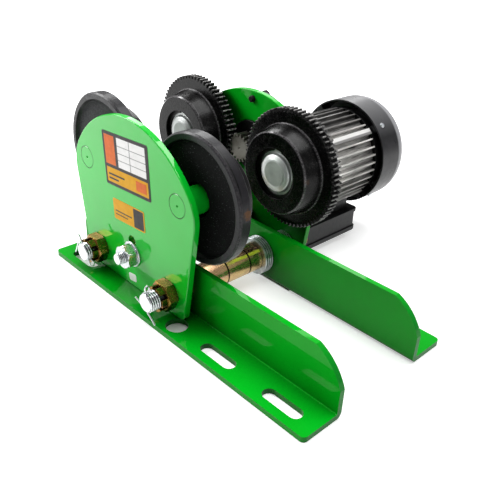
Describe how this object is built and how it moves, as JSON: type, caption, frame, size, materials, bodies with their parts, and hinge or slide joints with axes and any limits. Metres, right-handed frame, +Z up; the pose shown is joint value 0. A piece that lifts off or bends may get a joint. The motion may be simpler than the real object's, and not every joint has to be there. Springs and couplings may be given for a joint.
{
  "type": "motorized beam trolley",
  "caption": "Motor-driven trolley that rolls on an I-beam's lower flange: geared and idle flanged wheels on side plates, tied by cross shafts and slotted rails for a hoist.",
  "frame": {"origin": "centre of the four outer rail slots, on the rails' underside", "axes": "+X along the beam and rails, away from the wheels' end; +Y across the beam towards the motor; +Z up"},
  "size_m": [0.3552, 0.3252, 0.1679],
  "materials": {
    "green_paint": "gloss",
    "black_casting": "satin black enamel",
    "bright_steel": "machined",
    "zinc_plate": "bright zinc",
    "yellow_zinc_plate": "yellow passivated zinc",
    "dark_aluminium": "die cast, dark painted",
    "black_oxide_steel": "black oxide",
    "lamination_steel": "laminated",
    "enamelled_copper": "enamelled wire",
    "dark_sheet": "satin",
    "black_plastic": "matte",
    "pale_plastic": "matte"
  },
  "bodies": {
    "frame": {"axle_drive_left": "green_paint", "axle_drive_right": "green_paint", "axle_idle_left": "green_paint", "axle_idle_right": "green_paint", "bearing_motor_front": "bright_steel", "bearing_motor_rear": "bright_steel", "bearing_output_front": "bright_steel", "bearing_output_rear": "bright_steel", "capacitor": "pale_plastic", "cross_shaft_left": "zinc_plate", "cross_shaft_right": "zinc_plate", "fan_cowl": "dark_sheet", "front_shield": "dark_aluminium", "gear_housing": "dark_aluminium", "motor_frame": "dark_aluminium", "nut_drive_left": "yellow_zinc_plate", "nut_drive_right": "yellow_zinc_plate", "nut_idle_left": "yellow_zinc_plate", "nut_idle_right": "yellow_zinc_plate", "plate_drive_side": "green_paint", "plate_idle_side": "green_paint", "rail_drive_side": "green_paint", "rail_idle_side": "green_paint", "rear_shield": "dark_aluminium", "spacer_drive_left": "yellow_zinc_plate", "spacer_drive_right": "yellow_zinc_plate", "spacer_idle_left": "yellow_zinc_plate", "spacer_idle_right": "yellow_zinc_plate", "spacer_long_left": "yellow_zinc_plate", "spacer_long_right": "yellow_zinc_plate", "spacer_middle_left": "yellow_zinc_plate", "spacer_middle_right": "yellow_zinc_plate", "spacer_short_left": "yellow_zinc_plate", "spacer_short_right": "yellow_zinc_plate", "stator_core": "lamination_steel", "terminal_box": "black_plastic", "terminal_lid": "black_plastic", "washer_left": "zinc_plate", "washer_right": "zinc_plate", "winding": "enamelled_copper"},
    "wheel_idle_left": {"wheel_idle_left": "black_casting", "bearing_idle_left": "bright_steel", "cap_idle_left": "zinc_plate"},
    "wheel_idle_right": {"wheel_idle_right": "black_casting", "bearing_idle_right": "bright_steel", "cap_idle_right": "zinc_plate"},
    "wheel_drive_left": {"wheel_drive_left": "black_casting", "bearing_drive_left": "bright_steel", "cap_drive_left": "zinc_plate", "ring_drive_left": "black_oxide_steel"},
    "wheel_drive_right": {"wheel_drive_right": "black_casting", "bearing_drive_right": "bright_steel", "cap_drive_right": "zinc_plate", "ring_drive_right": "black_oxide_steel"},
    "output": {"output_shaft": "bright_steel", "pinion": "bright_steel", "reduction_gear": "bright_steel"},
    "rotor": {"rotor_shaft": "bright_steel", "rotor_core": "lamination_steel", "fan": "black_plastic"}
  },
  "joints": [
    {"name": "drive_right_spin", "type": "hinge", "parent": "frame", "child": "wheel_drive_right", "pos_m": [0.00375, 0, 0.1124], "axis": [0, 1, 0], "continuous": true},
    {"name": "drive_left_spin", "type": "hinge", "parent": "frame", "child": "wheel_drive_left", "pos_m": [-0.12975, 0, 0.1124], "axis": [0, 1, 0], "continuous": true},
    {"name": "output_spin", "type": "hinge", "parent": "frame", "child": "output", "pos_m": [-0.063, 0, 0.1124], "axis": [0, 1, 0], "continuous": true},
    {"name": "rotor_spin", "type": "hinge", "parent": "frame", "child": "rotor", "pos_m": [-0.03499, 0, 0.089], "axis": [0, 1, 0], "continuous": true},
    {"name": "idle_left_spin", "type": "hinge", "parent": "frame", "child": "wheel_idle_left", "pos_m": [-0.12975, 0, 0.1124], "axis": [0, 1, 0], "continuous": true},
    {"name": "idle_right_spin", "type": "hinge", "parent": "frame", "child": "wheel_idle_right", "pos_m": [0.00375, 0, 0.1124], "axis": [0, 1, 0], "continuous": true}
  ],
  "couplings": [
    {"joint": "drive_left_spin", "follows": "drive_right_spin", "ratio": 1},
    {"joint": "output_spin", "follows": "drive_right_spin", "ratio": -4.2353},
    {"joint": "rotor_spin", "follows": "drive_right_spin", "ratio": 21.529}
  ]
}
